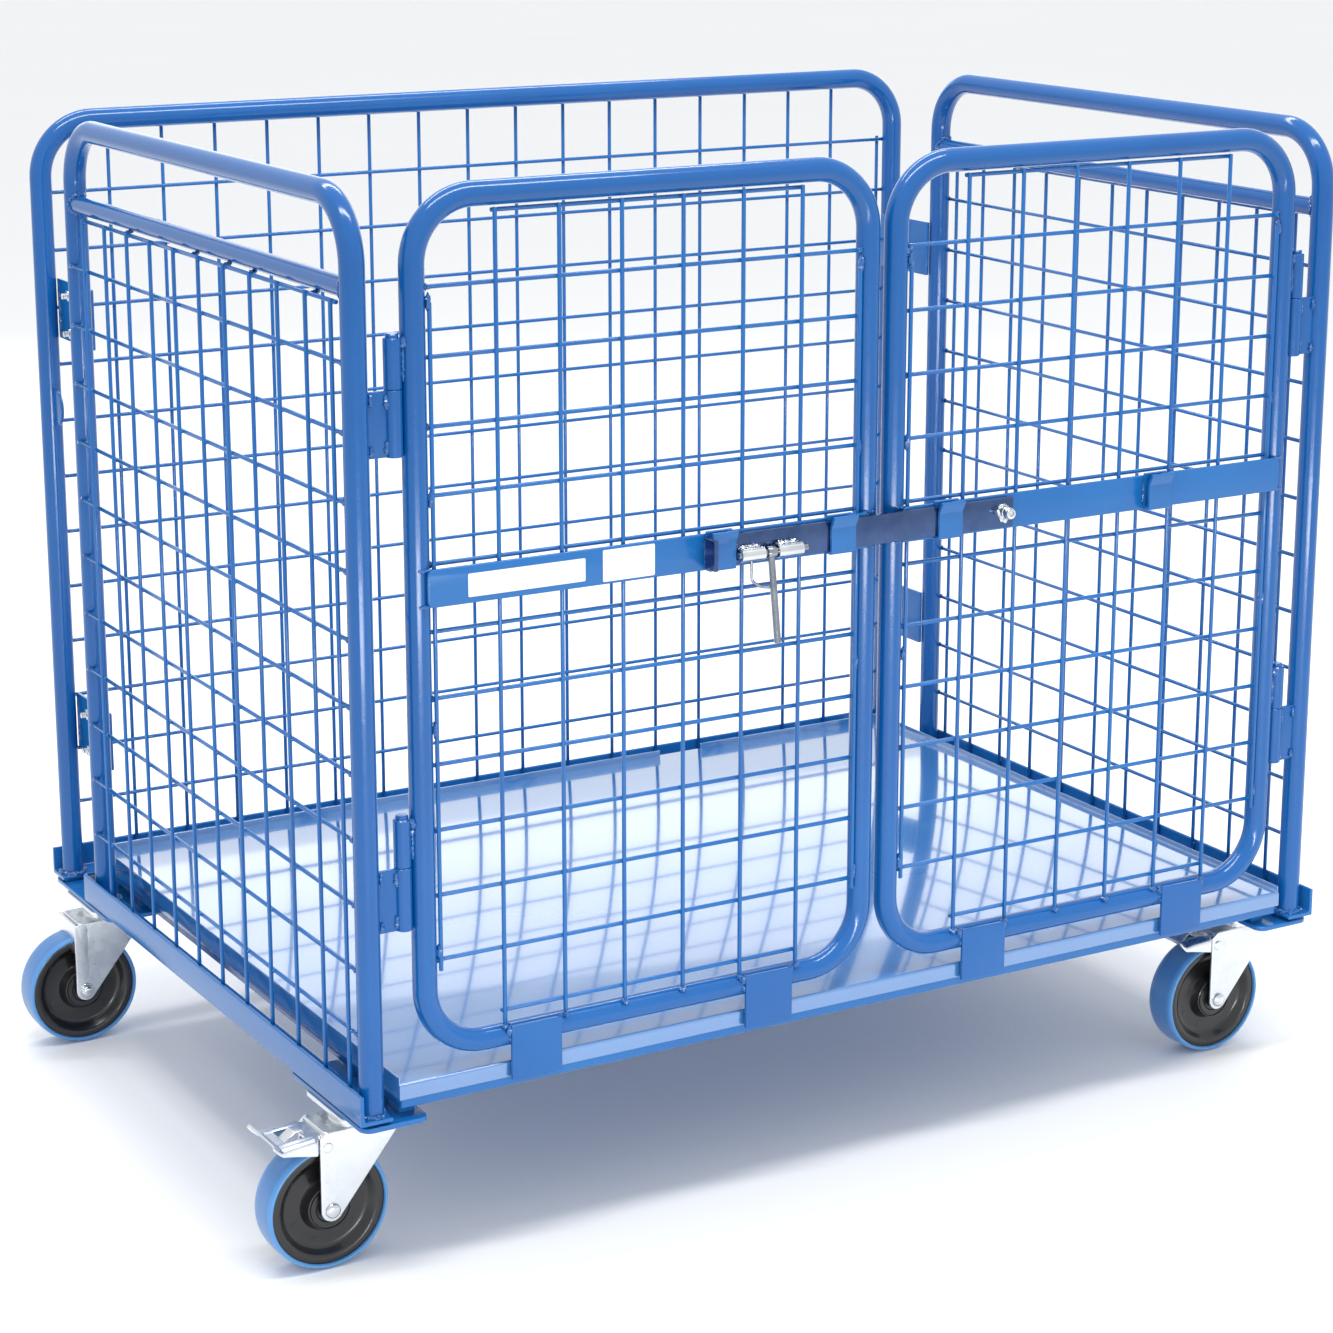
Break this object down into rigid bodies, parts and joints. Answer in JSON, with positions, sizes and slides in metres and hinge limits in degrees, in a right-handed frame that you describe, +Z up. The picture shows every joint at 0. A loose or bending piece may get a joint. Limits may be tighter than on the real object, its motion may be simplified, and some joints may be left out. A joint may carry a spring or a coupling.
{
  "type": "roll cage container",
  "caption": "Wheeled cage container with a sheet deck, welded mesh panels on tube frames, outward opening half doors with a drop-in latch bar, and swivel castors.",
  "frame": {"origin": "centre of the bounding box on the floor under the wheels", "axes": "+Z up, +X along the long side with the castors trailing towards -X, doors on the -Y side"},
  "size_m": [1.4472, 1.032, 1.2343],
  "materials": {
    "blue_powder_coat": "gloss powder coat over steel",
    "zinc_plate": "bright zinc plate",
    "black_nylon": "moulded nylon, slight sheen",
    "blue_tyre": "smooth elastic rubber"
  },
  "bodies": {
    "cage": {"deck_tray": "blue_powder_coat", "underframe": "blue_powder_coat", "left_panel_tube": "blue_powder_coat", "left_panel_rail": "blue_powder_coat", "left_panel_mesh": "blue_powder_coat", "left_panel_angle": "blue_powder_coat", "right_panel_tube": "blue_powder_coat", "right_panel_rail": "blue_powder_coat", "right_panel_mesh": "blue_powder_coat", "right_panel_angle": "blue_powder_coat", "back_panel_tube": "blue_powder_coat", "back_panel_mesh": "blue_powder_coat", "back_panel_angle": "blue_powder_coat", "left_upper_panel_bracket": "blue_powder_coat", "left_lower_panel_bracket": "blue_powder_coat", "right_upper_panel_bracket": "blue_powder_coat", "right_lower_panel_bracket": "blue_powder_coat", "left_upper_hinge_bracket": "blue_powder_coat", "left_lower_hinge_bracket": "blue_powder_coat", "right_upper_hinge_bracket": "blue_powder_coat", "right_lower_hinge_bracket": "blue_powder_coat", "left_front_castor_plate": "zinc_plate", "right_front_castor_plate": "zinc_plate", "left_back_castor_plate": "zinc_plate", "right_back_castor_plate": "zinc_plate"},
    "left_door": {"left_door_tube": "blue_powder_coat", "left_door_mesh": "blue_powder_coat", "left_door_bar": "blue_powder_coat", "left_upper_hinge_sleeve": "blue_powder_coat", "left_lower_hinge_sleeve": "blue_powder_coat", "latch_keeper_1": "blue_powder_coat", "latch_keeper_2": "blue_powder_coat"},
    "right_door": {"right_door_tube": "blue_powder_coat", "right_door_mesh": "blue_powder_coat", "right_door_bar": "blue_powder_coat", "right_upper_hinge_sleeve": "blue_powder_coat", "right_lower_hinge_sleeve": "blue_powder_coat", "latch_keeper_3": "blue_powder_coat", "latch_keeper_4": "blue_powder_coat"},
    "latch_bar": {"latch_bar": "zinc_plate"},
    "latch_lever": {"latch_lever": "zinc_plate"},
    "left_front_swivel": {"left_front_castor_fork": "zinc_plate", "left_front_castor_axle": "zinc_plate"},
    "left_front_wheel": {"left_front_wheel_hub": "black_nylon", "left_front_tyre": "blue_tyre"},
    "left_front_brake": {"left_front_brake_pedal": "zinc_plate"},
    "right_front_swivel": {"right_front_castor_fork": "zinc_plate", "right_front_castor_axle": "zinc_plate"},
    "right_front_wheel": {"right_front_wheel_hub": "black_nylon", "right_front_tyre": "blue_tyre"},
    "right_front_brake": {"right_front_brake_pedal": "zinc_plate"},
    "left_back_swivel": {"left_back_castor_fork": "zinc_plate", "left_back_castor_axle": "zinc_plate"},
    "left_back_wheel": {"left_back_wheel_hub": "black_nylon", "left_back_tyre": "blue_tyre"},
    "right_back_swivel": {"right_back_castor_fork": "zinc_plate", "right_back_castor_axle": "zinc_plate"},
    "right_back_wheel": {"right_back_wheel_hub": "black_nylon", "right_back_tyre": "blue_tyre"}
  },
  "joints": [
    {"name": "left_door_swing", "type": "hinge", "parent": "cage", "child": "left_door", "pos_m": [-0.57881, -0.45959, 0.7], "axis": [0, 0, -1], "range_deg": [0, 120]},
    {"name": "right_door_swing", "type": "hinge", "parent": "cage", "child": "right_door", "pos_m": [0.6588, -0.45959, 0.7], "axis": [0, 0, 1], "range_deg": [0, 120]},
    {"name": "latch_bar_lift", "type": "slide", "parent": "left_door", "child": "latch_bar", "axis": [0, 0, 1], "range_m": [0, 0.048]},
    {"name": "latch_lever_turn", "type": "hinge", "parent": "latch_bar", "child": "latch_lever", "pos_m": [-0.12951, -0.49579, 0.795], "axis": [-1, 0, 0], "range_deg": [0, 90]},
    {"name": "left_front_swivel_turn", "type": "hinge", "parent": "cage", "child": "left_front_swivel", "pos_m": [-0.60101, -0.37459, 0.18], "axis": [0, 0, 1], "continuous": true},
    {"name": "left_front_wheel_spin", "type": "hinge", "parent": "left_front_swivel", "child": "left_front_wheel", "pos_m": [-0.64901, -0.37459, 0.075], "axis": [0, 1, 0], "continuous": true},
    {"name": "left_front_brake_press", "type": "hinge", "parent": "left_front_swivel", "child": "left_front_brake", "pos_m": [-0.64701, -0.37459, 0.167], "axis": [0, -1, 0], "range_deg": [0, 10]},
    {"name": "right_front_swivel_turn", "type": "hinge", "parent": "cage", "child": "right_front_swivel", "pos_m": [0.681, -0.37459, 0.18], "axis": [0, 0, 1], "continuous": true},
    {"name": "right_front_wheel_spin", "type": "hinge", "parent": "right_front_swivel", "child": "right_front_wheel", "pos_m": [0.63299, -0.37459, 0.075], "axis": [0, 1, 0], "continuous": true},
    {"name": "right_front_brake_press", "type": "hinge", "parent": "right_front_swivel", "child": "right_front_brake", "pos_m": [0.63499, -0.37459, 0.167], "axis": [0, -1, 0], "range_deg": [0, 10]},
    {"name": "left_back_swivel_turn", "type": "hinge", "parent": "cage", "child": "left_back_swivel", "pos_m": [-0.60101, 0.41241, 0.18], "axis": [0, 0, 1], "continuous": true},
    {"name": "left_back_wheel_spin", "type": "hinge", "parent": "left_back_swivel", "child": "left_back_wheel", "pos_m": [-0.64901, 0.41241, 0.075], "axis": [0, 1, 0], "continuous": true},
    {"name": "right_back_swivel_turn", "type": "hinge", "parent": "cage", "child": "right_back_swivel", "pos_m": [0.681, 0.41241, 0.18], "axis": [0, 0, 1], "continuous": true},
    {"name": "right_back_wheel_spin", "type": "hinge", "parent": "right_back_swivel", "child": "right_back_wheel", "pos_m": [0.63299, 0.41241, 0.075], "axis": [0, 1, 0], "continuous": true}
  ]
}
